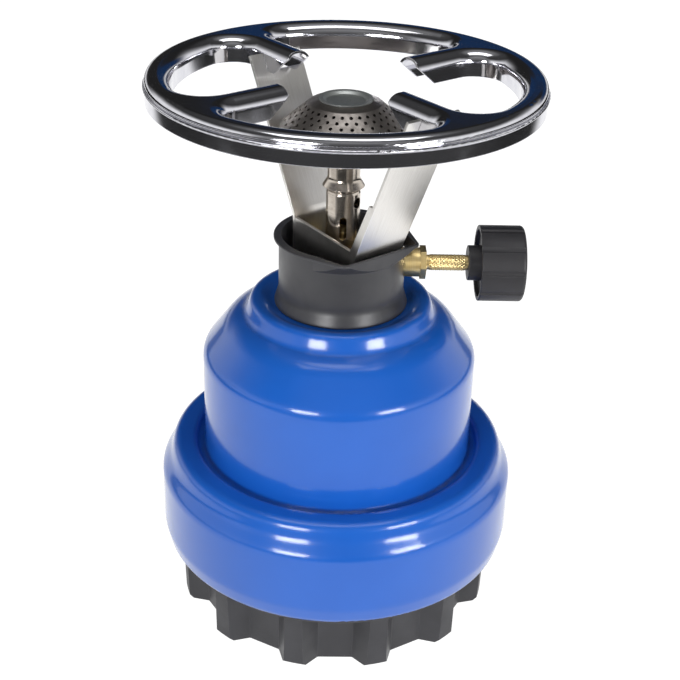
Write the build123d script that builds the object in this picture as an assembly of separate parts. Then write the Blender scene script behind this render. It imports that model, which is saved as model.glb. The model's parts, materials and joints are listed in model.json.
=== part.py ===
from build123d import *
from math import atan2, degrees, hypot, sqrt
import os

# Camping gas stove for a pierceable gas cartridge, millimetres, +Z up.
# Origin: middle of the flat face that the foot stands on. +X points to the knob.

# General
overrun = 1.0                    # how far a cutting body passes the face that it cuts
fit_gap = 0.1                    # radial gap of a running or sliding fit
play = 0.35                      # gap between pieces that move past each other

# Gas cartridge
cartridge_radius = 45.0
cartridge_height = 85.5          # from its seat to the flat round the pierced hole
cartridge_sheet = 0.6
cartridge_rim_height = 2.0       # bottom is domed inwards by this much
cartridge_rim_width = 4.0
cartridge_shoulder_height = 10.0
cartridge_shoulder_radius = 8.0
cartridge_boss_radius = 13.0
cartridge_boss_height = 1.4
cartridge_boss_run = 3.0
cartridge_edge_radius = 1.5

# Foot with teeth, the base cup
base_height = 24.4
floor_thickness = 2.5
foot_recess = 2.0
foot_rim_width = 2.8
bore_gap = 0.75
tooth_count = 12
tooth_depth = 6.6
tooth_inset = 2.0                # tips of the teeth inside the edge of the flange
tooth_tip_half_width = 3.0
tooth_root_half_width = 7.0
tooth_edge_radius = 0.8
tooth_draft = 0.6
tooth_bevel = 1.2
tooth_wall = 1.8
flange_inset = 1.2               # edge of the flange inside the lip of the housing
flange_thickness = 2.0
sleeve_wall = 2.8
sleeve_height = 21.6

# Screw closure between foot and housing: ramps on the sleeve, lugs in the skirt
closure_lead = 24.0
closure_count = 3
ramp_arc = 92.0
ramp_thickness = 2.2
ramp_reach = 3.4
ramp_gap = 1.3                   # between the ramps and the lock ring
ramp_start_height = 11.2         # underside of the ramp above the flange, at its low end
lug_arc = 14.0
lug_thickness = 2.0
lug_start_angle = 20.0           # middle of the first lug, seen from +X
lock_ring_thickness = 1.2
lock_ring_height = 6.0
stop_arc = 4.0

# Enamelled housing
housing_sheet = 0.8
dome_gap = 0.9                   # between the cartridge and the inside of the dome
lip_width = 1.4
lip_step = 1.3                   # edge of the lip inside the side wall
lip_gap = 0.4                    # lip of the skirt above the flange of the foot
lip_bend = 1.0
skirt_flare_height = 5.7
skirt_flare_bend = 7.0
shoulder_width = 15.2            # from the dome's wall to the side wall
shoulder_side_height = 26.2      # corner of the side wall, above the lip
shoulder_waist_height = 31.0     # the slope is a little hollow here
shoulder_top_height = 36.6       # level of the shoulder's crest, above the lip
shoulder_slope_run = 3.0         # from the side wall in to the waist
shoulder_rise_run = 1.6          # from the waist in to the top
shoulder_side_bend = 4.5
shoulder_waist_bend = 7.0
shoulder_top_bend = 3.0
crest_bend = 1.3
groove_width = 2.4
groove_depth = 2.4
groove_slope = 0.9
groove_bend = 0.9
dome_side_height = 71.0          # corner of the dome's wall, above the lip
dome_shoulder_run = 9.9
dome_shoulder_height = 84.2
dome_height = 85.0               # foot of the neck, above the lip
dome_side_bend = 5.5
dome_shoulder_bend = 11.0
neck_radius = 32.3
neck_height = 5.6
neck_slope = 2.2
neck_foot_bend = 1.6
neck_top_bend = 1.9
dish_radius = 27.0
dish_depth = 1.6
dish_floor_radius = 24.0
dish_bend = 2.5

# Clamped stack on the neck
shank_radius = 8.0
shank_gap = 0.2
washer_thickness = 1.2
washer_radius = 12.0
locknut_flats = 24.0
locknut_height = 5.0
seal_thickness = 4.0
seal_radius = 9.5
seal_bore_radius = 1.6
retainer_radius = 12.0
retainer_height = 10.0
retainer_lift = 1.0              # lower edge of the retainer above the cartridge
retainer_gap = 0.3
needle_radius = 1.2
needle_bore_radius = 0.5
needle_reach = 5.0               # how deep the needle stands in the cartridge
needle_bevel_height = 2.6
needle_head_radius = 2.5
needle_head_height = 2.0
pierced_hole_radius = 1.5
filter_height = 4.0

# Collar
collar_sheet = 0.8
collar_radius = 21.0
collar_height = 24.2
collar_foot_radius = 22.4
collar_foot_height = 0.6
collar_foot_slope = 4.4
collar_foot_bend = 0.4
collar_wall_bend = 6.0
collar_lip_radius = 22.7
square_height = 5.0              # how far the squared band reaches down from the lip
square_reach = 21.3              # straight side of the band, from the axis
square_half_width = 16.4
square_corner = 2.5
square_slope = 1.0               # how far the corners stand out per millimetre of height
square_overlap = 0.4             # how deep the band is rooted in the round wall
port_hole_gap = 0.4

# Bracket with the two legs
support_angle = -53.0            # plan angle of the right-hand leg, the left one is opposite
strip_width = 20.0
strip_thickness = 1.0
right_foot = 17.0                # outer face of the upright part, from the axis
left_foot = 14.0
right_bend_height = 18.0         # bend below the slanted leg, above the web
left_bend_height = 26.6
right_leg_top = 39.3             # outer face of the leg at the pot ring, from the axis
left_leg_top = 36.7
web_bend = 2.0
leg_bend = 6.0
ear_height = 5.0
flange_height = 26.2
flange_fall = 1.4                # how much lower the flange ends at the right leg
flange_left_slope = 1.5
flange_left_drop = 10.7
flange_band_width = 2.8
flange_band_height = 43.0
flange_band_start = 4.0

# Pot ring
ring_top = 193.1
ring_depth = 8.5
ring_sheet = 0.9
ring_band_radius = 62.7
ring_edge_bend = 2.4
ring_bead_radius = 0.55
ring_groove_radius = 0.45
ring_bead_drop = 3.7
ring_groove_drop = 2.8
rim_width = 8.3
lobe_bend = 4.2
lobe_corner = 8.5
lobe_inner_corner = 3.0
finger_count = 4
finger_half_width = 4.8
finger_tip_radius = 25.8
finger_tip_depth = 2.4
finger_slope_end = 33.0

# Valve in the collar
valve_rise = 12.6                # axis of the valve above the bracket
block_radius = 8.6
block_top_height = 3.3           # above the valve axis
port_start = 7.0
port_radius = 4.9
port_end = 26.0
seat_place = 3.4
seat_bore_radius = 0.9
chamber_radius = 2.8
gas_bore_radius = 1.2
gas_bore_drop = 10.0
gas_cross_place = 6.0
gland_bore_radius = 3.6
packing_place = 16.0
packing_length = 3.0
gland_flange_length = 2.0
gland_flange_flats = 9.8
plunger_length = 4.1
plunger_cone_length = 2.2
plunger_tip_radius = 0.36
plunger_gap = 0.04
spindle_radius = 2.5
spindle_thread_length = 5.3
spindle_thread_radius = 2.7
spindle_end_radius = 2.0
spindle_flat = 1.4

# Knob
knob_hub_place = 42.0
knob_hub_radius = 5.9
knob_hub_length = 3.5
knob_radius = 12.7
knob_length = 14.8
knob_bend = 1.2
knob_edge_bend = 0.3
knob_back_depth = 1.4            # hollow in the back of the knob
knob_back_wall = 1.5
knob_flute_count = 10
knob_flute_start = 27.5
knob_flute_radius = 1.3
knob_flute_depth = 0.45
knob_face_radius = 8.5
knob_face_depth = 1.2
knob_socket_depth = 12.0

# Jet and mixing tube
jet_nut_flats = 10.4
jet_nut_height = 2.5
jet_stud_radius = 2.4
jet_stud_length = 1.5
jet_boss_radius = 4.6
jet_boss_height = 3.5
jet_bore_radius = 1.2
jet_radius = 2.6
jet_height = 4.0
jet_tip_radius = 1.4
jet_tip_height = 1.2
jet_hole_radius = 0.2
tube_radius = 5.6
tube_wall = 1.0
tube_height = 20.0
tube_taper_radius = 5.3
tube_taper_height = 0.8
spigot_wall = 0.5
spigot_height = 6.5
air_hole_radius = 1.85
air_hole_height = 16.2
air_hole_angle = -35.0
slot_width = 2.3
slot_height = 8.0
slot_place = 4.0
slot_angle = -90.0

# Burner
stem_radius = 5.3
stem_wall = 0.5
stem_height = 7.2
stem_flare_radius = 6.9
stem_flare_height = 2.6
stem_lip = 1.4                   # how far the flared edge stands above the tube's taper
bowl_sheet = 0.5
bowl_radius = 20.3
bowl_height = 13.6
bowl_side_height = 4.6
bowl_insert = 1.0                # how deep the bowl's neck stands in the stem
bowl_neck_bend = 2.0
bowl_side_bend = 4.0
cone_sheet = 0.5
cone_height = 7.9
cone_top_radius = 11.6
cone_edge_bend = 1.6
cone_skirt_height = 3.2
crown_radius = 8.2
crown_height = 0.9
crown_bend = 1.2
cap_radius = 8.6
cap_dish_depth = 0.9
cap_sheet = 0.5
cap_rim_height = 1.1
cap_bend = 0.6
cone_hole_radius = 0.55
cone_hole_count = 30
cone_hole_row_shares = (0.18, 0.35, 0.52, 0.69, 0.86)


# Radii that follow from the sizes above, from the cartridge outwards
dome_radius = cartridge_radius + dome_gap + housing_sheet
crest_radius = dome_radius + groove_slope + groove_width
skirt_radius = dome_radius + shoulder_width
skirt_inside = skirt_radius - housing_sheet
lip_radius = skirt_radius - lip_step
lip_inner_radius = lip_radius - lip_width
flange_radius = lip_inner_radius - flange_inset
sleeve_radius = skirt_inside - lock_ring_thickness - ramp_gap - ramp_reach
tooth_tip_radius = flange_radius - tooth_inset
tooth_valley_radius = tooth_tip_radius - tooth_depth
lobe_radius = ring_band_radius - rim_width
throat_radius = stem_radius - stem_wall

# Levels that follow from the sizes above
cartridge_seat = foot_recess + floor_thickness
cartridge_top = cartridge_seat + cartridge_height
lip_level = base_height + lip_gap
dish_level = lip_level + dome_height + neck_height - dish_depth
neck_underside = dish_level - housing_sheet
web_level = dish_level + collar_sheet
block_level = web_level + strip_thickness
shank_level = cartridge_top + seal_thickness
collar_top = dish_level + collar_height
valve_height = block_level + valve_rise
block_top = valve_height + block_top_height
tube_level = block_top + jet_nut_height
tube_top = tube_level + tube_height
ring_bottom = ring_top - ring_depth
stem_level = tube_top + stem_lip
bowl_level = stem_level + stem_height - bowl_insert
cone_level = bowl_level + bowl_height
cone_top = cone_level + cone_height
cap_level = cone_top + crown_height
rise_per_degree = closure_lead / 360


def turned(points):
    """Solid of revolution about Z from a closed outline of (radius, height) points."""
    return revolve(Plane.XZ * make_face(Polyline(*points, close=True)), Axis.Z)


def turned_along_x(points):
    """Solid of revolution about the valve axis from (place along X, radius) points."""
    body = revolve(make_face(Polyline(*points, close=True)), Axis.X)
    return Pos(0, 0, valve_height) * body


def upright_rectangle(inner_radius, outer_radius, bottom, top):
    return [(inner_radius, bottom), (outer_radius, bottom), (outer_radius, top), (inner_radius, top)]


def ring_solid(inner_radius, outer_radius, bottom, top):
    return turned(upright_rectangle(inner_radius, outer_radius, bottom, top))


def rod(radius, bottom, top):
    return turned(upright_rectangle(0, radius, bottom, top))


def rod_along_x(radius, start, end):
    return turned_along_x([(start, 0), (end, 0), (end, radius), (start, radius)])


def hexagon(flats, bottom, top):
    outline = RegularPolygon(flats / 2, 6, major_radius=False)
    return Pos(0, 0, bottom) * extrude(outline, top - bottom)


def turn_between(run, next_run):
    """More than zero where the line turns left."""
    return run[0] * next_run[1] - run[1] * next_run[0]


def parallel_corners(corners, distance):
    """Corners of the line that runs parallel to the given one, on its left."""
    sides = []
    for (x0, y0), (x1, y1) in zip(corners, corners[1:]):
        length = hypot(x1 - x0, y1 - y0)
        shift_x, shift_y = -(y1 - y0) / length * distance, (x1 - x0) / length * distance
        sides.append(((x0 + shift_x, y0 + shift_y), (x1 - x0, y1 - y0), (x1 + shift_x, y1 + shift_y)))
    result = [sides[0][0]]
    for (point, run, end), (next_point, next_run, _) in zip(sides, sides[1:]):
        away_x, away_y = next_point[0] - point[0], next_point[1] - point[1]
        share = (away_x * next_run[1] - away_y * next_run[0]) / turn_between(run, next_run)
        result.append((point[0] + run[0] * share, point[1] + run[1] * share))
    result.append(sides[-1][2])
    return result


def sheet_section(corners, bends, thickness):
    """Section of a bent sheet. The corners run along one face, the metal lies on their left."""
    inner_bends = []
    runs = [(x1 - x0, y1 - y0) for (x0, y0), (x1, y1) in zip(corners, corners[1:])]
    for run, next_run, bend in zip(runs, runs[1:], bends):
        turns_left = turn_between(run, next_run) > 0
        inner_bends.append(max(bend - thickness, 0) if turns_left else bend + thickness)
    face_line = FilletPolyline(*corners, radius=bends)
    back_line = FilletPolyline(*parallel_corners(corners, thickness), radius=inner_bends)
    start, end = Line(face_line @ 0, back_line @ 0), Line(face_line @ 1, back_line @ 1)
    return make_face([face_line, back_line, start, end])


def turned_sheet(corners, bends, thickness):
    return revolve(Plane.XZ * sheet_section(corners, bends, thickness), Axis.Z)


def sector(inner_radius, outer_radius, bottom, top, start_angle, arc):
    """Part of a ring, from start_angle on, about Z."""
    outline = Polyline(*upright_rectangle(inner_radius, outer_radius, bottom, top), close=True)
    face = Plane.XZ * make_face(outline)
    return Rot(0, 0, start_angle) * revolve(face, Axis.Z, arc)


def screw_bar(inner_radius, outer_radius, thickness, bottom, start_angle, arc):
    """Bar with a square section that climbs round Z with the lead of the closure."""
    middle_radius = (inner_radius + outer_radius) / 2
    path = Helix(closure_lead, rise_per_degree * arc, middle_radius)
    outline = Rectangle(outer_radius - inner_radius, thickness)
    section = Plane(path @ 0, x_dir=(1, 0, 0), z_dir=path % 0) * outline
    bar = sweep(section, path, is_frenet=True)
    return Pos(0, 0, bottom + thickness / 2) * Rot(0, 0, start_angle) * bar


def round_about_axis(piece, count):
    return [Rot(0, 0, 360 / count * index) * piece for index in range(count)]


def make_cartridge():
    bottom = cartridge_seat
    dome_level = bottom + cartridge_rim_height
    shoulder_level = cartridge_top - cartridge_shoulder_height
    rim_inner_radius = cartridge_radius - cartridge_rim_width
    corners = [
        (0, dome_level),
        (rim_inner_radius - cartridge_rim_height, dome_level),
        (rim_inner_radius, bottom),
        (cartridge_radius, bottom),
        (cartridge_radius, shoulder_level),
        (cartridge_boss_radius + cartridge_boss_run, cartridge_top - cartridge_boss_height),
        (cartridge_boss_radius, cartridge_top),
        (pierced_hole_radius, cartridge_top),
    ]
    small_bend = cartridge_edge_radius
    bends = [small_bend, small_bend / 2, small_bend, cartridge_shoulder_radius, small_bend, small_bend]
    return turned_sheet(corners, bends, cartridge_sheet)


def tooth_outline():
    """Outline of the toothed wall: straight valleys, tapering teeth."""
    points = []
    for index in range(tooth_count):
        middle = Rot(0, 0, 360 / tooth_count * (index + 1 / 2))
        root_place = sqrt(tooth_valley_radius ** 2 - tooth_root_half_width ** 2)
        for place, side in (
            (root_place, -tooth_root_half_width),
            (tooth_tip_radius, -tooth_tip_half_width),
            (tooth_tip_radius, tooth_tip_half_width),
            (root_place, tooth_root_half_width),
        ):
            points.append((middle * Pos(place, side, 0)).position)
    return make_face(Polyline(*points, close=True))


def tooth_pocket():
    """Hollow on the underside of one tooth."""
    root_place = tooth_valley_radius - tooth_wall / 2
    tip_place = tooth_tip_radius - tooth_wall
    root_side = tooth_root_half_width - tooth_wall
    tip_side = tooth_tip_half_width - tooth_wall / 2
    outline = Polyline(
        (root_place, -root_side), (tip_place, -tip_side), (tip_place, tip_side), (root_place, root_side),
        close=True,
    )
    return extrude(make_face(outline), base_height - flange_thickness - tooth_wall)


def make_base_cup():
    wall_top = base_height - flange_thickness
    toothed = extrude(tooth_outline(), wall_top)
    toothed = fillet(toothed.edges().filter_by(Axis.Z), tooth_edge_radius)
    drafted_tip = tooth_tip_radius - tooth_draft
    envelope = turned([
        (0, 0),
        (drafted_tip - tooth_bevel, 0),
        (drafted_tip, tooth_bevel),
        (tooth_tip_radius, wall_top),
        (0, wall_top),
    ])
    body = toothed & envelope
    body += rod(flange_radius, wall_top, base_height)
    body += rod(sleeve_radius, wall_top, base_height + sleeve_height)
    bore_radius = cartridge_radius + bore_gap
    body -= rod(bore_radius, cartridge_seat, base_height + sleeve_height + overrun)
    body -= rod(sleeve_radius - sleeve_wall, base_height, base_height + sleeve_height + overrun)
    body -= rod(bore_radius - foot_rim_width, -overrun, foot_recess)
    first_tooth = Rot(0, 0, 180 / tooth_count) * tooth_pocket()
    body -= round_about_axis(first_tooth, tooth_count)
    ramp_bottom = base_height + ramp_start_height
    ramp_inside = sleeve_radius - sleeve_wall / 2
    ramp_outside = sleeve_radius + ramp_reach
    ramp_start = lug_start_angle - lug_arc / 2
    ramp = screw_bar(ramp_inside, ramp_outside, ramp_thickness, ramp_bottom, ramp_start, ramp_arc)
    stop_gap = degrees(play / ramp_outside)
    stop = sector(
        ramp_inside, ramp_outside, ramp_bottom - lug_thickness - play, ramp_bottom + ramp_thickness,
        ramp_start - stop_gap - stop_arc, stop_arc,
    )
    for piece in round_about_axis(ramp, closure_count) + round_about_axis(stop, closure_count):
        body += piece
    return body


def make_lock_ring():
    ring_outside = skirt_inside
    ring_inside = ring_outside - lock_ring_thickness
    lug_low = base_height + ramp_start_height - play - lug_thickness
    lug_middle = lug_low + lug_thickness / 2 + rise_per_degree * lug_arc / 2
    body = ring_solid(
        ring_inside, ring_outside, lug_middle - lock_ring_height / 2, lug_middle + lock_ring_height / 2
    )
    lug = screw_bar(
        sleeve_radius + play, ring_inside + lock_ring_thickness / 2, lug_thickness,
        lug_low, lug_start_angle - lug_arc / 2, lug_arc,
    )
    for piece in round_about_axis(lug, closure_count):
        body += piece
    return body


def make_housing_shell():
    waist_radius = skirt_radius - shoulder_slope_run
    shoulder_level = lip_level + shoulder_top_height
    dome_level = lip_level + dome_height
    neck_level = dome_level + neck_height
    corners_and_bends = [
        ((lip_inner_radius, lip_level), None),
        ((lip_radius, lip_level), lip_bend),
        ((skirt_radius, lip_level + skirt_flare_height), skirt_flare_bend),
        ((skirt_radius, lip_level + shoulder_side_height), shoulder_side_bend),
        ((waist_radius, lip_level + shoulder_waist_height), shoulder_waist_bend),
        ((waist_radius - shoulder_rise_run, shoulder_level), shoulder_top_bend),
        ((crest_radius, shoulder_level), crest_bend),
        ((crest_radius - groove_slope, shoulder_level - groove_depth), groove_bend),
        ((dome_radius, shoulder_level - groove_depth), groove_bend),
        ((dome_radius, lip_level + dome_side_height), dome_side_bend),
        ((dome_radius - dome_shoulder_run, lip_level + dome_shoulder_height), dome_shoulder_bend),
        ((neck_radius, dome_level), neck_foot_bend),
        ((neck_radius - neck_slope, neck_level), neck_top_bend),
        ((dish_radius, neck_level), dish_bend),
        ((dish_floor_radius, dish_level), dish_bend),
        ((shank_radius + shank_gap, dish_level), None),
    ]
    corners = [corner for corner, bend in corners_and_bends]
    bends = [bend for corner, bend in corners_and_bends if bend is not None]
    return turned_sheet(corners, bends, housing_sheet)


def make_valve_washer():
    bottom = neck_underside - washer_thickness
    return ring_solid(shank_radius + shank_gap, washer_radius, bottom, neck_underside)


def make_valve_locknut():
    top = neck_underside - washer_thickness
    bottom = top - locknut_height
    return hexagon(locknut_flats, bottom, top) - rod(shank_radius, bottom, top)


def make_cartridge_seal():
    return ring_solid(seal_bore_radius, seal_radius, cartridge_top, shank_level)


def make_seal_retainer():
    bottom = cartridge_top + retainer_lift
    top = bottom + retainer_height
    body = rod(retainer_radius, bottom, top)
    body -= rod(seal_radius + retainer_gap, bottom - overrun, shank_level)
    return body - rod(shank_radius, shank_level - overrun, top + overrun)


def make_piercing_needle():
    tip_level = cartridge_top - needle_reach
    body = rod(needle_radius, tip_level, shank_level)
    body += rod(needle_head_radius, shank_level, shank_level + needle_head_height)
    bevel_angle = degrees(atan2(needle_bevel_height, 2 * needle_radius))
    wedge_length, wedge_width = 4 * needle_bevel_height, 4 * needle_radius
    below = (Align.CENTER, Align.CENTER, Align.MAX)
    wedge = Box(wedge_length, wedge_width, needle_bevel_height, align=below)
    body -= Pos(-needle_radius, 0, tip_level) * Rot(0, -bevel_angle, 0) * wedge
    return body - rod(needle_bore_radius, tip_level - overrun, shank_level + needle_head_height + overrun)


def make_gas_filter():
    bottom = shank_level + needle_head_height
    return rod(needle_head_radius, bottom, bottom + filter_height)


def make_valve_body():
    body = rod(shank_radius, shank_level, block_level)
    body += rod(block_radius, block_level, block_top)
    body += rod_along_x(port_radius, port_start, port_end)
    filter_top = shank_level + needle_head_height + filter_height
    cross_level = valve_height - gas_bore_drop
    body -= rod(needle_head_radius, shank_level - overrun, filter_top)
    body -= rod(gas_bore_radius, filter_top - overrun, cross_level)
    lean = degrees(atan2(gas_cross_place, gas_bore_drop))
    slant = hypot(gas_cross_place, gas_bore_drop)
    cross_bore = Cylinder(gas_bore_radius, slant, align=(Align.CENTER, Align.CENTER, Align.MIN))
    body -= Pos(0, 0, cross_level) * Rot(0, lean, 0) * cross_bore
    body -= rod_along_x(chamber_radius, seat_place, port_end)
    body -= rod_along_x(seat_bore_radius, 0, seat_place + overrun)
    body -= rod_along_x(gland_bore_radius, packing_place, port_end + overrun)
    body -= rod(gas_bore_radius, valve_height, block_top)
    return body - rod(jet_stud_radius, block_top - jet_stud_length, block_top + overrun)


def make_gland_packing():
    inner_radius = spindle_radius + fit_gap / 2
    end = packing_place + packing_length
    return turned_along_x([
        (packing_place, inner_radius),
        (end, inner_radius),
        (end, gland_bore_radius),
        (packing_place, gland_bore_radius),
    ])


def make_gland_nut():
    start = packing_place + packing_length
    body = rod_along_x(gland_bore_radius, start, port_end)
    outline = RegularPolygon(gland_flange_flats / 2, 6, major_radius=False)
    flange = extrude(Plane.YZ * outline, gland_flange_length)
    body += Pos(port_end, 0, valve_height) * flange
    end = port_end + gland_flange_length
    return body - rod_along_x(spindle_radius + fit_gap, start - overrun, end + overrun)


def make_valve_needle():
    cone_radius = seat_bore_radius - plunger_gap
    slope = (chamber_radius - fit_gap - plunger_tip_radius) / plunger_cone_length
    tip = seat_place - (cone_radius - plunger_tip_radius) / slope
    cone_end = tip + plunger_cone_length
    return turned_along_x([
        (tip, 0),
        (tip, plunger_tip_radius),
        (cone_end, chamber_radius - fit_gap),
        (cone_end + plunger_length, chamber_radius - fit_gap),
        (cone_end + plunger_length, 0),
    ])


def needle_end():
    return make_valve_needle().bounding_box().max.X


def make_spindle():
    start = needle_end()
    thread_end = start + spindle_thread_length
    end = knob_hub_place + knob_socket_depth
    body = turned_along_x([
        (start, 0),
        (start, spindle_thread_radius),
        (thread_end, spindle_thread_radius),
        (thread_end, spindle_radius),
        (knob_hub_place, spindle_radius),
        (knob_hub_place, spindle_end_radius),
        (end, spindle_end_radius),
        (end, 0),
    ])
    return body - spindle_flat_cut()


def spindle_flat_cut():
    """Block over the flat at the end of the spindle, which turns the knob."""
    on_flat = (Align.MIN, Align.CENTER, Align.MIN)
    cut = Box(knob_socket_depth, 2 * spindle_end_radius, spindle_end_radius, align=on_flat)
    return Pos(knob_hub_place, 0, valve_height + spindle_flat) * cut


def knob_socket():
    """Hole of the knob, round with one flat, as the end of the spindle."""
    hole = rod_along_x(spindle_end_radius, knob_hub_place, knob_hub_place + knob_socket_depth)
    return hole - spindle_flat_cut()


def make_knob():
    start = knob_hub_place
    grip_start = start + knob_hub_length
    back = grip_start + knob_back_depth
    end = grip_start + knob_length
    back_edge = knob_radius - knob_back_wall
    face_edge = knob_face_radius
    edge = knob_edge_bend
    outline = FilletPolyline(
        (start, 0),
        (start, knob_hub_radius),
        (back, knob_hub_radius),
        (back, back_edge),
        (grip_start, back_edge),
        (grip_start, knob_radius),
        (end, knob_radius),
        (end, face_edge),
        (end - knob_face_depth, face_edge - knob_face_depth),
        (end - knob_face_depth, 0),
        radius=[edge, edge, edge, edge, edge, knob_bend, edge, edge],
    )
    face = make_face([outline, Line(outline @ 1, outline @ 0)])
    body = Pos(0, 0, valve_height) * revolve(face, Axis.X)
    flute_place = knob_radius + knob_flute_radius - knob_flute_depth
    flute = Plane.YZ * Pos(flute_place, 0, 0) * Circle(knob_flute_radius)
    flute = Pos(grip_start - overrun, 0, 0) * extrude(flute, knob_length + 2 * overrun)
    for index in range(knob_flute_count):
        turn = knob_flute_start + 360 / knob_flute_count * index
        body -= Pos(0, 0, valve_height) * Rot(turn, 0, 0) * flute
    return body - knob_socket()


def squared_outline(round_radius, reach, half_width):
    """Plan of the collar's top: round, with a straight chord between two corners at the right leg."""
    middle_x, middle_y = reach - square_corner, half_width - square_corner
    shapes = [Circle(round_radius)]
    for y in (-middle_y, middle_y):
        shapes.append(Pos(middle_x, y) * Circle(square_corner))
    edges = [edge for shape in shapes for edge in shape.edges()]
    inside_chord = Rectangle(4 * round_radius, 4 * round_radius, align=(Align.MAX, Align.CENTER))
    return make_hull(edges) & Pos(reach, 0) * inside_chord


def squared_band(round_radius, reach, half_width, top):
    """Upper wall of the collar: its corners grow out of the round wall below."""
    rooted_radius = round_radius - square_overlap
    low = collar_top - square_height - square_overlap / square_slope
    grown_radius = rooted_radius + square_slope * (top - low)
    cone = turned([(0, low), (rooted_radius, low), (grown_radius, top), (0, top)])
    outline = squared_outline(rooted_radius, reach, half_width)
    return extrude(Pos(0, 0, low) * outline, top - low, dir=(0, 0, 1)) & cone


def make_collar():
    """Pressed cup. The squared band is built with its chord across X and turned to the right leg."""
    inside = collar_radius - collar_sheet
    wall_top = collar_top - collar_sheet
    outline = FilletPolyline(
        (0, dish_level),
        (collar_foot_radius, dish_level),
        (collar_foot_radius, dish_level + collar_foot_height),
        (collar_radius, dish_level + collar_foot_height + collar_foot_slope),
        (collar_radius, wall_top),
        radius=[collar_foot_bend, collar_foot_bend, collar_wall_bend],
    )
    closing = Polyline(outline @ 1, (0, wall_top), (0, dish_level))
    body = revolve(Plane.XZ * make_face([outline, closing]), Axis.Z)
    body += squared_band(collar_radius, square_reach, square_half_width, wall_top)
    lip_outline = squared_outline(collar_lip_radius, square_reach, square_half_width)
    lip = Pos(0, 0, wall_top) * extrude(lip_outline, collar_sheet)
    body += fillet(lip.edges().group_by(Axis.Z)[-1], collar_sheet / 2)
    floor_top = dish_level + collar_sheet
    hollow = rod(inside, floor_top, collar_top + overrun)
    inner_reach, inner_width = square_reach - collar_sheet, square_half_width - collar_sheet
    hollow += squared_band(inside, inner_reach, inner_width, collar_top + overrun)
    body -= hollow
    body = Rot(0, 0, support_angle) * body
    body -= rod(shank_radius + shank_gap, dish_level - overrun, floor_top + overrun)
    port_hole = rod_along_x(port_radius + port_hole_gap, collar_radius / 2, collar_radius + 2 * overrun)
    return body - port_hole


def leg_top_level():
    return ring_bottom + ear_height


def leg_line(foot, bend_height, top_place):
    """Outer face of one leg: bend point and upper end, (distance from the axis, height)."""
    bend_level = block_level + bend_height
    slope = (top_place - foot) / (ring_bottom - bend_level)
    top_level = leg_top_level()
    return (foot, bend_level), (foot + slope * (top_level - bend_level), top_level)


def make_leg_bracket():
    """Strip with two legs, built in its own plane with the right leg at +X, then turned."""
    right_bend, right_top = leg_line(right_foot, right_bend_height, right_leg_top)
    left_bend, left_top = leg_line(left_foot, left_bend_height, left_leg_top)
    corners = [
        (-left_top[0], left_top[1]),
        (-left_bend[0], left_bend[1]),
        (-left_foot, web_level),
        (right_foot, web_level),
        right_bend,
        right_top,
    ]
    bends = [leg_bend, web_bend, web_bend, leg_bend]
    section = sheet_section(corners, bends, strip_thickness)
    body = extrude(Plane.XZ * section, strip_width / 2, both=True)
    body += Pos(0, -strip_width / 2, 0) * bracket_flange(right_bend, right_top)
    notch_half_width = finger_half_width + fit_gap
    notch_length = right_top[0] + left_top[0] + 2 * overrun
    above = (Align.CENTER, Align.CENTER, Align.MIN)
    notch = Box(notch_length, 2 * notch_half_width, ear_height + overrun, align=above)
    body -= Pos((right_top[0] - left_top[0]) / 2, 0, ring_bottom) * notch
    body = Rot(0, 0, support_angle) * body
    return body - rod(shank_radius + shank_gap, web_level - overrun, block_level + overrun)


def bracket_flange(right_bend, right_top):
    """Upright flange along the front edge of the web, a narrow band runs on along the right leg."""
    slope = (right_top[0] - right_bend[0]) / (right_top[1] - right_bend[1])
    flange_top = block_level + flange_height
    band_top = block_level + flange_band_height
    face_at_band = right_bend[0] + slope * (band_top - right_bend[1])
    face_at_flange = right_bend[0] + slope * (flange_top - right_bend[1])
    outline = Polyline(
        (-left_foot, web_level + web_bend),
        (-left_foot, flange_top - flange_left_drop),
        (-left_foot + flange_left_slope, flange_top),
        (face_at_flange - flange_band_start, flange_top - flange_fall),
        (face_at_band - flange_band_width, band_top),
        (face_at_band, band_top),
        right_bend,
        (right_foot, web_level + web_bend),
        (right_foot - web_bend, web_level),
        (web_bend - left_foot, web_level),
        close=True,
    )
    return extrude(Plane.XZ * make_face(outline), -strip_thickness)


def lobe(half_width, arc_radius, corner, inner_corner):
    """One of the four openings between the fingers, in the first quarter."""
    quarter = Pos(half_width, half_width) * Rectangle(arc_radius, arc_radius, align=(Align.MIN, Align.MIN))
    face = quarter & Circle(arc_radius)
    outer = [vertex for vertex in face.vertices() if hypot(vertex.X, vertex.Y) > arc_radius - overrun]
    face = fillet(outer, corner)
    inner = min(face.vertices(), key=lambda vertex: hypot(vertex.X, vertex.Y))
    return fillet(inner, inner_corner)


def ring_blank(grow, top, bottom, edge_bend, hole_bend):
    """Body of the pot ring without its hollow; grow makes the smaller body that hollows it."""
    plan = Circle(ring_band_radius - grow)
    half_width, arc_radius = finger_half_width - grow, lobe_radius + grow
    opening = lobe(half_width, arc_radius, lobe_corner + grow, lobe_inner_corner + grow)
    plan -= round_about_axis(opening, finger_count)
    body = Pos(0, 0, bottom) * extrude(plan, top - bottom)
    top_edges = body.edges().group_by(Axis.Z)[-1]
    rim = [edge for edge in top_edges if edge.bounding_box().size.X > 2 * lobe_radius]
    body = fillet(rim, edge_bend)
    top_edges = body.edges().group_by(Axis.Z)[-1]
    lobes = [edge for edge in top_edges if edge.bounding_box().size.X < lobe_radius + grow]
    return fillet(lobes, hole_bend)


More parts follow.
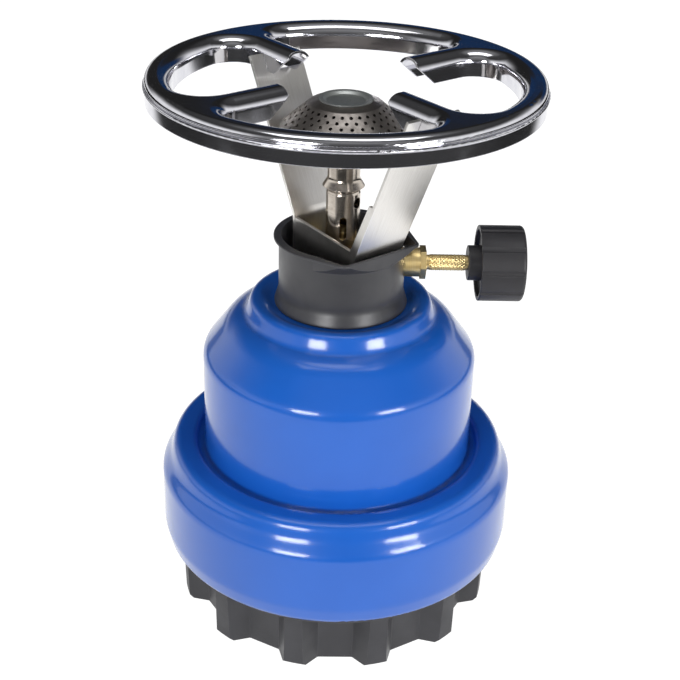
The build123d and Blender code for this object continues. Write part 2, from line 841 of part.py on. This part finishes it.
def make_pot_ring():
    body = ring_blank(0, ring_top, ring_bottom, ring_edge_bend, lobe_bend)
    bead = Torus(ring_band_radius, ring_bead_radius)
    body += Pos(0, 0, ring_top - ring_bead_drop) * bead
    groove = Torus(ring_band_radius, ring_groove_radius)
    body -= Pos(0, 0, ring_top - ring_groove_drop) * groove
    sheet, below = ring_sheet, ring_bottom - overrun
    body -= ring_blank(sheet, ring_top - sheet, below, ring_edge_bend - sheet, lobe_bend - sheet)
    body -= rod(finger_tip_radius, below, ring_top + overrun)
    body -= turned([
        (0, below),
        (finger_slope_end, below),
        (finger_slope_end, ring_bottom),
        (finger_tip_radius, ring_top - finger_tip_depth),
        (0, ring_top - finger_tip_depth),
    ])
    return Rot(0, 0, support_angle) * body


def make_jet_holder():
    boss_top = tube_level + jet_boss_height
    body = hexagon(jet_nut_flats, block_top, tube_level)
    body += rod(jet_stud_radius, block_top - jet_stud_length, block_top)
    body += rod(jet_boss_radius, tube_level, boss_top)
    body -= rod(jet_bore_radius, block_top - jet_stud_length - overrun, boss_top)
    return body - rod(jet_radius, boss_top - jet_height / 2, boss_top + overrun)


def make_jet():
    bottom = tube_level + jet_boss_height - jet_height / 2
    top = bottom + jet_height
    body = turned([
        (0, bottom),
        (jet_radius, bottom),
        (jet_radius, top),
        (jet_tip_radius, top + jet_tip_height),
        (0, top + jet_tip_height),
    ])
    body -= rod(jet_bore_radius, bottom - overrun, top)
    return body - rod(jet_hole_radius, bottom, top + jet_tip_height + overrun)


def make_mixing_tube():
    """Tube over the jet: its air hole and slot draw in air, its spigot carries the burner's neck."""
    taper_level = tube_top - tube_taper_height
    inside = tube_radius - tube_wall
    spigot_top = tube_top + spigot_height
    spigot_inside = throat_radius - spigot_wall
    body = turned([
        (0, tube_level),
        (tube_radius, tube_level),
        (tube_radius, taper_level),
        (tube_taper_radius, tube_top),
        (throat_radius, tube_top),
        (throat_radius, spigot_top),
        (0, spigot_top),
    ])
    body -= turned([
        (0, tube_level - overrun),
        (inside, tube_level - overrun),
        (inside, taper_level),
        (spigot_inside, tube_top),
        (spigot_inside, spigot_top + overrun),
        (0, spigot_top + overrun),
    ])
    hole = Plane.YZ * Circle(air_hole_radius)
    hole = Pos(0, 0, tube_level + air_hole_height) * extrude(hole, tube_radius + overrun)
    body -= Rot(0, 0, air_hole_angle) * hole
    slot = Plane.YZ * SlotOverall(slot_height, slot_width, rotation=90)
    slot = Pos(0, 0, tube_level + slot_place + slot_height / 2) * extrude(slot, tube_radius + overrun)
    return body - Rot(0, 0, slot_angle) * slot


def make_burner_stem():
    """Neck of the burner, a tube that flares out over the end of the mixing tube."""
    top = stem_level + stem_height
    corners = [
        (stem_flare_radius, stem_level),
        (stem_radius, stem_level + stem_flare_height),
        (stem_radius, top),
    ]
    return turned_sheet(corners, [stem_flare_height], stem_wall)


def make_burner_bowl():
    corners = [
        (throat_radius, bowl_level),
        (throat_radius, bowl_level + bowl_insert + bowl_neck_bend),
        (bowl_radius, cone_level - bowl_side_height),
        (bowl_radius, cone_level - cone_edge_bend),
    ]
    return turned_sheet(corners, [bowl_neck_bend, bowl_side_bend], bowl_sheet)


def cone_corners():
    """Outer face of the perforated cone, from its lower edge over the bowl to its mouth."""
    outside = bowl_radius + cone_sheet
    return [
        (outside, cone_level - cone_skirt_height),
        (outside, cone_level),
        (cone_top_radius, cone_top),
        (crown_radius, cap_level),
    ]


def make_burner_cone():
    body = turned_sheet(cone_corners(), [cone_edge_bend, crown_bend], cone_sheet)
    low_radius, low_level = cone_corners()[1]
    run, rise = cone_top_radius - low_radius, cone_top - low_level
    lean = degrees(atan2(-run, rise))
    hole = Cylinder(cone_hole_radius, 2 * overrun)
    holes = []
    for row, share in enumerate(cone_hole_row_shares):
        radius, level = low_radius + run * share, low_level + rise * share
        for index in range(cone_hole_count):
            turn = 360 / cone_hole_count * (index + row / 2)
            holes.append(Rot(0, 0, turn) * Pos(radius, 0, level) * Rot(0, 90 - lean, 0) * hole)
    return body - holes


def make_burner_cap():
    """Dished cap with a rolled rim, it closes the mouth of the cone."""
    corners = [
        (0, cap_level - cap_dish_depth),
        (cap_radius - 2 * cap_rim_height, cap_level - cap_dish_depth),
        (cap_radius - cap_rim_height, cap_level),
        (cap_radius, cap_level),
    ]
    return turned_sheet(corners, [cap_bend, cap_bend], cap_sheet)


makers = {
    "base_cup": make_base_cup,
    "cartridge": make_cartridge,
    "cartridge_seal": make_cartridge_seal,
    "housing_shell": make_housing_shell,
    "lock_ring": make_lock_ring,
    "valve_washer": make_valve_washer,
    "valve_locknut": make_valve_locknut,
    "seal_retainer": make_seal_retainer,
    "piercing_needle": make_piercing_needle,
    "gas_filter": make_gas_filter,
    "valve_body": make_valve_body,
    "gland_packing": make_gland_packing,
    "gland_nut": make_gland_nut,
    "valve_needle": make_valve_needle,
    "spindle": make_spindle,
    "knob": make_knob,
    "collar": make_collar,
    "leg_bracket": make_leg_bracket,
    "pot_ring": make_pot_ring,
    "jet_holder": make_jet_holder,
    "jet": make_jet,
    "mixing_tube": make_mixing_tube,
    "burner_stem": make_burner_stem,
    "burner_bowl": make_burner_bowl,
    "burner_cone": make_burner_cone,
    "burner_cap": make_burner_cap,
}

os.makedirs("parts", exist_ok=True)
for name, make in makers.items():
    export_step(make(), f"parts/{name}.step")
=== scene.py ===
import json
from math import cos, pi, radians, sin

import bpy
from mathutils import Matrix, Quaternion, Vector


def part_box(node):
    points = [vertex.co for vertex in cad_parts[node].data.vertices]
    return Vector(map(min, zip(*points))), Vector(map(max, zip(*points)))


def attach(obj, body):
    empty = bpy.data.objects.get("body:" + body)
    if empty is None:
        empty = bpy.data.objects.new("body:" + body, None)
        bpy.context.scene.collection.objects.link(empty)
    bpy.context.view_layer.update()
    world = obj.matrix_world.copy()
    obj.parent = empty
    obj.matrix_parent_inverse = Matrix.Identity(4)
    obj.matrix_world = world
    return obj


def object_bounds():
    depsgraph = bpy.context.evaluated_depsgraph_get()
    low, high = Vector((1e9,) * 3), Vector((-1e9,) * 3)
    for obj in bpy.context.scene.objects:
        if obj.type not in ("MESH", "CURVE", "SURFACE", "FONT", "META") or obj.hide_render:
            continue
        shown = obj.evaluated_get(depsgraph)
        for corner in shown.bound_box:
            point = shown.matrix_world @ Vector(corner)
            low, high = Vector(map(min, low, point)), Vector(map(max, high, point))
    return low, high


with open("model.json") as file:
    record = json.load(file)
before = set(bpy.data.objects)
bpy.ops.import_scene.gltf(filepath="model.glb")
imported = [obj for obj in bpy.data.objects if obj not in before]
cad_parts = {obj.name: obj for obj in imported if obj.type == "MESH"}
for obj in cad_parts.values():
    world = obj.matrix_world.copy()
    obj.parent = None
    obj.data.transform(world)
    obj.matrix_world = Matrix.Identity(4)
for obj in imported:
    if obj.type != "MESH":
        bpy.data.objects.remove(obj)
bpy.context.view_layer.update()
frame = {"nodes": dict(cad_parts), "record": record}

nodes = frame["nodes"]
scene = bpy.context.scene

# Units, lengths are in metres
mm = 0.001
picture_width = 680              # pixels

# Camera at the photograph's angle
camera_place = Vector((-11.5, -405.1, 315.0)) * mm
camera_aim = Vector((0.2, 0, 98.2)) * mm
camera_roll = radians(1.6)
camera_focal_length = 1336       # pixels
camera_near = 10 * mm
sensor_width = 36                # Blender's own millimetres

# Floor
floor_radius = 4.0
floor_rings = 6
floor_sides = 48
floor_drop = 0.05 * mm           # below the foot
floor_cloud_size = 0.4
floor_pale = (0.80, 0.80, 0.80, 1)
floor_dim = (0.78, 0.78, 0.78, 1)
floor_glow = 0.92                # the least that the camera sees
shadow_grey_camera = 0.2
shadow_grey_gloss = 0.05

# Bright table round the stove, the only part of the floor that glows in gloss. It fades out over a stretch
# of Y towards the front and over a stretch of X on both sides
table_glow = 1.02
table_front_fade = (-0.26, -0.19)
table_side_fade = (0.40, 0.50)

# Softboxes: azimuth in degrees, 0 in front and plus to the right, then elevation in degrees
lamp_target = Vector((0, 0, 100)) * mm
lamp_distance = 1.3
key_left_place = (-27, 11)
key_right_place = (41, 11)
key_size = (0.44, 0.32)
key_power = 8
top_place = (0, 80)
top_size = (1.2, 0.5)
top_power = 4

# Room that shows in reflections: height of the direction (0 level, 1 straight up) and its grey
behind_stops = [(0.0, 0.9), (0.08, 0.6), (0.13, 0.02), (0.60, 0.016), (0.80, 0.06), (1.0, 0.30)]
beside_stops = [(0.0, 0.98), (0.26, 0.92), (0.42, 0.30), (0.55, 0.04), (0.80, 0.06), (1.0, 0.30)]
front_stops = [(0.0, 0.10), (0.20, 0.08), (0.45, 0.16), (0.65, 0.26), (0.85, 0.26), (1.0, 0.30)]

# Where it changes: Y of the direction is 1 straight behind the stove, X is 1 straight to its right
turn_to_behind = (0.6, 0.85)
turn_to_front = (-0.75, -0.45)

# Navy patch behind the stove, by X and by height of the direction
navy = (0.010, 0.030, 0.085, 1)
navy_left_edge = (-0.09, -0.05)
navy_lower_edge = (0.08, 0.13)
navy_upper_edge = (0.29, 0.32)

# Thick enamel runs in the bends of the housing, so they look this much rounder
enamel_bend = 2.5 * mm
enamel_bend_samples = 12

# Share of a plastic's colour in its darker clouds
dark_cloud_share = 0.8

# Knurl on the valve spindle: a thin sleeve, by the radii of its peaks, its grooves and its inside
knurl_pitch = 1.2 * mm
knurl_columns = 28
knurl_peak = 2.74 * mm
knurl_groove = 2.51 * mm
knurl_inside = 2.35 * mm
knurl_clearance = 1.0 * mm

# Upright plane of the bracket: its direction round Z, from +X
support_angle = radians(-53)
strip_stretch = 60               # lines on the strip are this much longer than wide

white = (1, 1, 1, 1)


def colour(red, green, blue):
    """Linear colour from the 0 to 255 values that a screen shows."""
    def linear(value):
        share = value / 255
        return share / 12.92 if share <= 0.04045 else ((share + 0.055) / 1.055) ** 2.4
    return (linear(red), linear(green), linear(blue), 1)


def middle_height(name):
    low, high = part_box(name)
    return (low.z + high.z) / 2


# Shader helpers

def new_material(name):
    material = bpy.data.materials.new(name)
    material.use_nodes = True
    tree = material.node_tree
    shader = tree.nodes["Principled BSDF"]
    return material, tree, shader


def feed(tree, socket, value):
    """Link the output of another node to the socket, or set a number or a colour on it."""
    if isinstance(value, bpy.types.NodeSocket):
        tree.links.new(value, socket)
    else:
        socket.default_value = value


def connect(tree, node, **inputs):
    for name, value in inputs.items():
        feed(tree, node.inputs[name.replace("_", " ")], value)


def add(tree, kind, settings=None, **inputs):
    made = tree.nodes.new(kind)
    for name, value in (settings or {}).items():
        setattr(made, name, value)
    connect(tree, made, **inputs)
    return made


def place_in_frame(tree):
    return add(tree, "ShaderNodeTexCoord").outputs["Object"]


def math_node(tree, operation, first, second=0.0):
    made = add(tree, "ShaderNodeMath", {"operation": operation})
    feed(tree, made.inputs[0], first)
    feed(tree, made.inputs[1], second)
    return made.outputs[0]


def product(tree, first, second):
    return math_node(tree, "MULTIPLY", first, second)


def largest(tree, first, second):
    return math_node(tree, "MAXIMUM", first, second)


def turned_place(tree, axis):
    """Place as (distance from the axis, 0, place along it), so that marks run round the axis."""
    parts = add(tree, "ShaderNodeSeparateXYZ", Vector=place_in_frame(tree)).outputs
    if axis == "Z":
        across, up, along = parts["X"], parts["Y"], parts["Z"]
    else:
        up = math_node(tree, "SUBTRACT", parts["Z"], middle_height("knob"))
        across, along = parts["Y"], parts["X"]
    squares = math_node(tree, "ADD", product(tree, across, across), product(tree, up, up))
    radius = math_node(tree, "SQRT", squares)
    return add(tree, "ShaderNodeCombineXYZ", X=radius, Z=along).outputs[0]


def strip_place(tree):
    """Place in the bracket's own plane, squeezed so that grain runs along the strip."""
    mapping = add(
        tree, "ShaderNodeMapping", {"vector_type": "TEXTURE"},
        Vector=place_in_frame(tree),
        Rotation=(0, 0, support_angle),
        Scale=(strip_stretch, 1, strip_stretch),
    )
    return mapping.outputs[0]


def noise(tree, place, size, detail=3.0, roughness=0.5, distortion=0.0):
    made = add(
        tree, "ShaderNodeTexNoise",
        Vector=place, Scale=1 / size, Detail=detail, Roughness=roughness, Distortion=distortion,
    )
    return made.outputs["Fac"]


def spread(tree, value, low, high, start=0.3, end=0.7):
    """low where the value is under start, high where it is over end, smooth between."""
    made = add(
        tree, "ShaderNodeMapRange", {"interpolation_type": "SMOOTHSTEP"},
        Value=value, From_Min=start, From_Max=end, To_Min=low, To_Max=high,
    )
    return made.outputs[0]


def mix(tree, share, first, second):
    made = add(tree, "ShaderNodeMix", {"data_type": "RGBA"}, Factor=share)
    colours = [socket for socket in made.inputs if socket.type == "RGBA"]
    feed(tree, colours[0], first)
    feed(tree, colours[1], second)
    return [socket for socket in made.outputs if socket.type == "RGBA"][0]


def clouded(tree, value, first, second):
    """The first colour where the value is low, the second where it is high."""
    return mix(tree, spread(tree, value, 0, 1), first, second)


def bump(tree, height, strength, distance, normal=None):
    inputs = {"Height": height, "Strength": strength, "Distance": distance}
    if normal is not None:
        inputs["Normal"] = normal
    return add(tree, "ShaderNodeBump", **inputs).outputs[0]


def soft_edges(tree, radius, samples=6):
    """Normal that rounds the sharp edges by this radius."""
    return add(tree, "ShaderNodeBevel", {"samples": samples}, Radius=radius).outputs[0]


def edge_share(tree, radius, start=0.02, end=0.25):
    """1 on a sharp edge, 0 on the faces beside it."""
    flat = add(tree, "ShaderNodeNewGeometry").outputs["Normal"]
    made = add(tree, "ShaderNodeVectorMath", {"operation": "DOT_PRODUCT"})
    feed(tree, made.inputs[0], flat)
    feed(tree, made.inputs[1], soft_edges(tree, radius))
    away = math_node(tree, "SUBTRACT", 1.0, made.outputs["Value"])
    return spread(tree, away, 0, 1, start, end)


# Materials

def plastic(name, base, worn, grain_size, grain_height):
    """Moulded plastic with a fine even grain, a little lighter where edges are rubbed."""
    material, tree, shader = new_material(name)
    place = place_in_frame(tree)
    cloud = noise(tree, place, 14 * mm, detail=4)
    grain = noise(tree, place, grain_size, detail=2, roughness=0.6)
    lighter_edge = product(tree, edge_share(tree, 0.5 * mm), noise(tree, place, 2 * mm))
    dark = tuple(dark_cloud_share * part for part in base[:3]) + (1,)
    connect(
        tree, shader,
        Base_Color=mix(tree, lighter_edge, clouded(tree, cloud, base, dark), worn),
        Roughness=spread(tree, cloud, 0.42, 0.54),
        Normal=bump(tree, grain, 0.5, grain_height, soft_edges(tree, 0.35 * mm)),
    )
    return material


def enamel():
    """Stoved enamel on sheet steel: even blue, glossy, with a faint orange peel."""
    material, tree, shader = new_material("blue_enamel")
    place = place_in_frame(tree)
    cloud = noise(tree, place, 30 * mm, detail=3)
    peel = noise(tree, place, 3 * mm, detail=1, roughness=0.4)
    drawn_bends = soft_edges(tree, enamel_bend, enamel_bend_samples)
    connect(
        tree, shader,
        Base_Color=clouded(tree, cloud, colour(25, 97, 197), colour(22, 93, 191)),
        Normal=drawn_bends,
        Roughness=spread(tree, cloud, 0.30, 0.36),
        Specular_IOR_Level=0.2,
        Coat_Weight=1.0,
        Coat_Roughness=spread(tree, cloud, 0.10, 0.13),
        Coat_Normal=bump(tree, peel, 0.12, 0.010 * mm, drawn_bends),
    )
    return material


def satin_paint():
    """Satin black paint, lighter on the edges: partly rubbed paint, partly a painted highlight along the
    lip.
    """
    material, tree, shader = new_material("black_paint")
    place = place_in_frame(tree)
    cloud = noise(tree, place, 9 * mm, detail=4)
    peel = noise(tree, place, 0.7 * mm, detail=2)
    # Pale tone on the edges: rubbed paint, and also a painted highlight that stands in for the glint along
    # the lip
    lighter_edge = product(tree, edge_share(tree, 0.3 * mm), spread(tree, cloud, 0.1, 0.7))
    paint = clouded(tree, cloud, colour(60, 60, 63), colour(53, 53, 56))
    connect(
        tree, shader,
        Base_Color=mix(tree, lighter_edge, paint, colour(150, 150, 154)),
        Roughness=spread(tree, cloud, 0.36, 0.48),
        Normal=bump(tree, peel, 0.3, 0.03 * mm, soft_edges(tree, 0.25 * mm)),
        Coat_Weight=0.3,
        Coat_Roughness=0.3,
    )
    return material


def polished_metal(name, bright, dull, smooth, rough, ripple=0.02 * mm):
    """Plated or polished metal with faint smears and a slightly uneven surface."""
    material, tree, shader = new_material(name)
    place = place_in_frame(tree)
    smear = noise(tree, place, 6 * mm, detail=5, roughness=0.6, distortion=0.6)
    wave = noise(tree, place, 5 * mm, detail=1)
    connect(
        tree, shader,
        Metallic=1.0,
        Base_Color=clouded(tree, smear, bright, dull),
        Roughness=spread(tree, smear, smooth, rough),
        Normal=bump(tree, wave, 0.4, ripple, soft_edges(tree, 0.3 * mm)),
    )
    return material


def brushed_strip():
    """Cold-rolled stainless strip, bright, with fine lines along its length."""
    material, tree, shader = new_material("stainless")
    lines = noise(tree, strip_place(tree), 0.12 * mm, detail=3, roughness=0.6)
    smear = noise(tree, place_in_frame(tree), 7 * mm, detail=4, roughness=0.6)
    connect(
        tree, shader,
        Metallic=1.0,
        Base_Color=clouded(tree, lines, colour(250, 248, 244), colour(236, 233, 228)),
        Roughness=spread(tree, smear, 0.29, 0.32),
        Normal=bump(tree, lines, 0.15, 0.01 * mm, soft_edges(tree, 0.3 * mm)),
    )
    return material


def turned_metal(name, bright, dull, axis, smooth, rough, line_size=0.15 * mm):
    """Metal with fine marks of the lathe round the given axis."""
    material, tree, shader = new_material(name)
    lines = noise(tree, turned_place(tree, axis), line_size, detail=3, roughness=0.6)
    smear = noise(tree, place_in_frame(tree), 4 * mm, detail=4, roughness=0.6)
    share = spread(tree, product(tree, lines, smear), 0, 1, 0.1, 0.45)
    connect(
        tree, shader,
        Metallic=1.0,
        Base_Color=mix(tree, share, bright, dull),
        Roughness=spread(tree, smear, smooth, rough),
        Normal=bump(tree, lines, 0.2, 0.012 * mm, soft_edges(tree, 0.2 * mm)),
    )
    return material


def burner_metal():
    """Plated burner steel, warm grey, darker towards the top of the cone."""
    material, tree, shader = new_material("burner_steel")
    place = place_in_frame(tree)
    smear = noise(tree, place, 3 * mm, detail=5, roughness=0.65)
    low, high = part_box("burner_cone")
    height = add(tree, "ShaderNodeSeparateXYZ", Vector=place).outputs["Z"]
    # Darker towards the top of the cone
    top_darkening = spread(tree, height, 0, 0.5, low.z, high.z + 2 * mm)
    steel = clouded(tree, smear, colour(168, 162, 156), colour(140, 134, 129))
    connect(
        tree, shader,
        Metallic=1.0,
        Base_Color=mix(tree, top_darkening, steel, colour(132, 126, 124)),
        Roughness=spread(tree, smear, 0.34, 0.44),
        Normal=bump(tree, smear, 0.3, 0.02 * mm, soft_edges(tree, 0.12 * mm)),
    )
    return material


def dull_material(name, first, second, grain_size, rough, metallic=0.0):
    """Rubber, packing or sintered metal inside the stove."""
    material, tree, shader = new_material(name)
    grain = noise(tree, place_in_frame(tree), grain_size, detail=4, roughness=0.7)
    connect(
        tree, shader,
        Metallic=metallic,
        Base_Color=clouded(tree, grain, first, second),
        Roughness=spread(tree, grain, rough - 0.08, rough + 0.08),
        Normal=bump(tree, grain, 0.4, 0.05 * mm),
    )
    return material


materials = {
    "foot_plastic": plastic(
        "foot_plastic", colour(56, 56, 60), colour(92, 92, 95), grain_size=0.25 * mm, grain_height=0.03 * mm
    ),
    "knob_plastic": plastic(
        "knob_plastic", colour(46, 45, 48), colour(80, 80, 82), grain_size=0.3 * mm, grain_height=0.03 * mm
    ),
    "blue_enamel": enamel(),
    "black_paint": satin_paint(),
    "chrome_plate": polished_metal(
        "chrome_plate", colour(226, 226, 231), colour(216, 216, 223),
        smooth=0.08, rough=0.13, ripple=0.002 * mm,
    ),
    "nickel_plate": turned_metal(
        "nickel_plate", colour(214, 205, 194), colour(190, 180, 168), "Z", smooth=0.14, rough=0.24
    ),
    "stainless": brushed_strip(),
    "burner_steel": burner_metal(),
    "cap_steel": turned_metal(
        "cap_steel", colour(206, 210, 208), colour(184, 188, 186), "Z",
        smooth=0.44, rough=0.54, line_size=0.4 * mm,
    ),
    "brass": turned_metal(
        "brass", colour(250, 226, 166), colour(236, 206, 140), "X", smooth=0.32, rough=0.42
    ),
    "zinc_steel": polished_metal(
        "zinc_steel", colour(206, 206, 202), colour(180, 182, 180), smooth=0.25, rough=0.4
    ),
    "seal_rubber": dull_material(
        "seal_rubber", colour(40, 40, 40), colour(30, 30, 30), grain_size=0.4 * mm, rough=0.7
    ),
    "packing": dull_material(
        "packing", colour(222, 220, 214), colour(205, 203, 196), grain_size=0.5 * mm, rough=0.6
    ),
    "sintered_bronze": dull_material(
        "sintered_bronze", colour(176, 140, 92), colour(134, 100, 62),
        grain_size=0.3 * mm, rough=0.55, metallic=1.0,
    ),
    "cartridge_paint": polished_metal(
        "cartridge_paint", colour(222, 222, 218), colour(206, 206, 202), smooth=0.24, rough=0.32
    ),
}


def dress_nodes():
    for part in frame["record"]["subparts"]:
        target = nodes[part["node"]]
        target.data.materials.clear()
        target.data.materials.append(materials[part["material_slot"]])


def mesh_object(name, points, faces):
    mesh = bpy.data.meshes.new(name)
    mesh.from_pydata(points, [], faces)
    made = bpy.data.objects.new(name, mesh)
    scene.collection.objects.link(made)
    return made


# Knurl of the valve spindle

def knurl_ring(row, rows):
    """Radii round one ring. Peaks and grooves take turns, the first and the last ring are all groove."""
    between = 0 < row < rows
    return [
        knurl_peak if between and (row + column) % 2 else knurl_groove
        for column in range(knurl_columns)
    ]


def make_knurl():
    """Diamond knurl round the bare length of the spindle; grooves run along the split of each square."""
    middle = middle_height("knob")
    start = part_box("gland_nut")[1].x + knurl_clearance
    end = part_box("knob")[0].x - knurl_clearance / 2
    rows = 2 * round((end - start) / knurl_pitch)
    step = (end - start) / rows
    inside = [knurl_inside] * knurl_columns
    rings = [(start, inside)]
    rings += [(start + step * row, knurl_ring(row, rows)) for row in range(rows + 1)]
    rings += [(end, inside)]
    points = []
    for place, radii in rings:
        for column, radius in enumerate(radii):
            turn = 2 * pi * column / knurl_columns
            points.append((place, radius * cos(turn), middle + radius * sin(turn)))
    faces = []
    for ring in range(len(rings)):
        following_ring = (ring + 1) % len(rings)
        for column in range(knurl_columns):
            following = (column + 1) % knurl_columns
            first = ring * knurl_columns + column
            second = ring * knurl_columns + following
            third = following_ring * knurl_columns + following
            fourth = following_ring * knurl_columns + column
            if (ring - 1 + column) % 2:
                faces += [(first, second, fourth), (second, third, fourth)]
            else:
                faces += [(first, second, third), (first, third, fourth)]
    knurl = mesh_object("spindle_knurl", points, faces)
    knurl.data.validate()
    knurl.data.materials.append(materials["brass"])
    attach(knurl, "control")


# Studio

def floor_material():
    """Near white to the camera, which also sees the stove's shadow on it; gloss sees the bright table."""
    material, tree, shader = new_material("floor")
    place = place_in_frame(tree)
    cloud = noise(tree, place, floor_cloud_size, detail=2)
    connect(tree, shader, Base_Color=clouded(tree, cloud, floor_pale, floor_dim), Roughness=0.9)
    spot = add(tree, "ShaderNodeSeparateXYZ", Vector=place).outputs
    aside = math_node(tree, "ABSOLUTE", spot["X"])
    behind_front = spread(tree, spot["Y"], 0, 1, *table_front_fade)
    between_sides = spread(tree, aside, 1, 0, *table_side_fade)
    table = product(tree, product(tree, behind_front, between_sides), table_glow)
    rays = add(tree, "ShaderNodeLightPath").outputs
    to_camera = rays["Is Camera Ray"]
    grey = add(
        tree, "ShaderNodeMapRange",
        Value=to_camera, To_Min=shadow_grey_gloss, To_Max=shadow_grey_camera,
    ).outputs[0]
    shadow_keeper = add(tree, "ShaderNodeBsdfDiffuse", Color=grey).outputs[0]
    strength = largest(tree, table, product(tree, to_camera, floor_glow))
    glow = add(tree, "ShaderNodeEmission", Color=white, Strength=strength).outputs[0]
    seen = add(tree, "ShaderNodeAddShader")
    feed(tree, seen.inputs[0], shadow_keeper)
    feed(tree, seen.inputs[1], glow)
    through = largest(tree, rays["Is Glossy Ray"], rays["Is Transmission Ray"])
    choice = add(tree, "ShaderNodeMixShader", Fac=largest(tree, to_camera, through))
    feed(tree, choice.inputs[1], shader.outputs[0])
    feed(tree, choice.inputs[2], seen.outputs[0])
    feed(tree, tree.nodes["Material Output"].inputs["Surface"], choice.outputs[0])
    return material


def make_floor():
    """Round floor whose rings widen towards its edge."""
    points = [(0, 0, 0)]
    for ring in range(1, floor_rings + 1):
        radius = floor_radius * (ring / floor_rings) ** 2
        for side in range(floor_sides):
            turn = 2 * pi * side / floor_sides
            points.append((radius * cos(turn), radius * sin(turn), 0))
    faces = []
    for side in range(floor_sides):
        following = (side + 1) % floor_sides
        faces.append((0, 1 + side, 1 + following))
        for ring in range(floor_rings - 1):
            inner, outer = 1 + ring * floor_sides, 1 + (ring + 1) * floor_sides
            faces.append((inner + side, outer + side, outer + following, inner + following))
    floor = mesh_object("floor", points, faces)
    floor.location.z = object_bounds()[0][2] - floor_drop
    floor.data.materials.append(floor_material())


def make_lamp(name, place, size, power):
    """Softbox that faces the stove."""
    azimuth, elevation = place
    turn, rise = radians(azimuth), radians(elevation)
    direction = Vector((sin(turn) * cos(rise), -cos(turn) * cos(rise), sin(rise)))
    lamp = bpy.data.lights.new(name, "AREA")
    lamp.shape = "RECTANGLE"
    lamp.size, lamp.size_y = size
    lamp.energy = power
    holder = bpy.data.objects.new(name, lamp)
    holder.location = lamp_target + direction * lamp_distance
    holder.rotation_mode = "QUATERNION"
    holder.rotation_quaternion = (-direction).to_track_quat("-Z", "Y")
    scene.collection.objects.link(holder)


def make_ramp(tree, value, stops):
    ramp = add(tree, "ShaderNodeValToRGB", Fac=value)
    elements = ramp.color_ramp.elements
    while len(elements) < len(stops):
        elements.new(1.0)
    for element, (position, tone) in zip(elements, stops):
        element.position = position
        element.color = (tone, tone, tone, 1)
    return ramp.outputs["Color"]


def make_world():
    """Dark room, pale beside the stove and low behind it, with a navy patch.

    It is there for reflections, but a low camera sees it too, past the far edge of the floor.
    """
    world = bpy.data.worlds.new("studio")
    scene.world = world
    world.use_nodes = True
    tree = world.node_tree
    background = tree.nodes["Background"]
    direction = add(tree, "ShaderNodeTexCoord").outputs["Generated"]
    parts = add(tree, "ShaderNodeSeparateXYZ", Vector=direction).outputs
    height = parts["Z"]
    behind = make_ramp(tree, height, behind_stops)
    beside = make_ramp(tree, height, beside_stops)
    front = make_ramp(tree, height, front_stops)
    turned_back = spread(tree, parts["Y"], 0, 1, *turn_to_behind)
    turned_front = spread(tree, parts["Y"], 1, 0, *turn_to_front)
    room = mix(tree, turned_front, mix(tree, turned_back, beside, behind), front)
    navy_right = spread(tree, parts["X"], 0, 1, *navy_left_edge)
    navy_low = spread(tree, height, 1, 0, *navy_upper_edge)
    navy_high = spread(tree, height, 0, 1, *navy_lower_edge)
    navy_share = product(
        tree, product(tree, navy_right, turned_back), product(tree, navy_low, navy_high)
    )
    connect(tree, background, Color=mix(tree, navy_share, room, navy), Strength=1.0)


def make_camera():
    camera = bpy.data.cameras.new("camera")
    camera.sensor_width = sensor_width
    camera.lens = sensor_width * camera_focal_length / picture_width
    camera.clip_start = camera_near
    holder = bpy.data.objects.new("camera", camera)
    holder.location = camera_place
    holder.rotation_mode = "QUATERNION"
    look = (camera_aim - camera_place).to_track_quat("-Z", "Y")
    holder.rotation_quaternion = look @ Quaternion((0, 0, 1), camera_roll)
    scene.collection.objects.link(holder)
    scene.camera = holder


dress_nodes()
make_knurl()
make_floor()
make_lamp("key_left", key_left_place, key_size, key_power)
make_lamp("key_right", key_right_place, key_size, key_power)
make_lamp("top", top_place, top_size, top_power)
make_world()
make_camera()
scene.view_settings.view_transform = "Standard"
